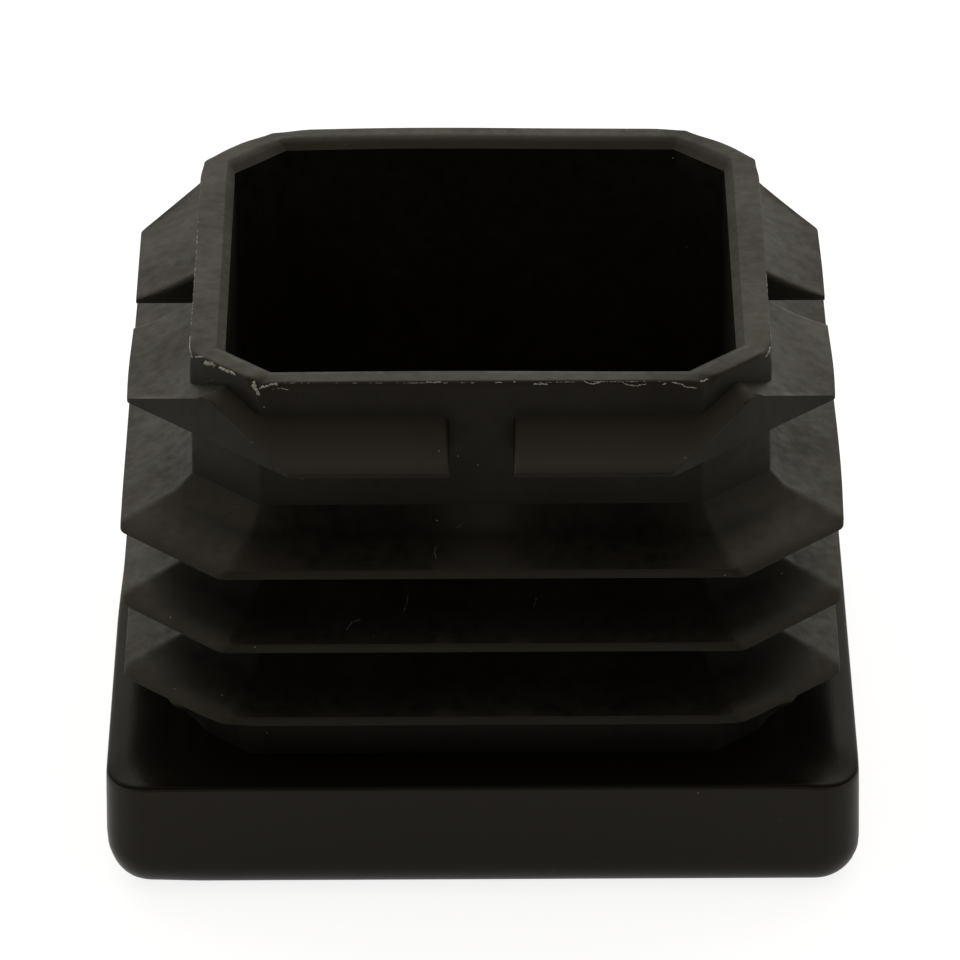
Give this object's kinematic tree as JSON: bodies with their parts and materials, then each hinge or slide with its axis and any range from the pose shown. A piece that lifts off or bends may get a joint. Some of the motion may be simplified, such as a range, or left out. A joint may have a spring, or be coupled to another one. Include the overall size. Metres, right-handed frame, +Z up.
{
  "type": "tube end cap",
  "caption": "Square tube end cap: a flat head closes the tube, and a hollow plug with barbed ribs and a split top rib grips inside it.",
  "frame": {"origin": "centre of the head's flat outer face", "axes": "+Z up the plug towards its open rim, +X and +Y square to the head's sides, with -Y towards the viewer of the front side"},
  "size_m": [0.05, 0.05, 0.0352],
  "materials": {
    "moulded_plastic": "black polyethylene, satin as moulded, with scuffed rim edges"
  },
  "bodies": {
    "root": {"end_cap": "moulded_plastic"}
  },
  "joints": []
}
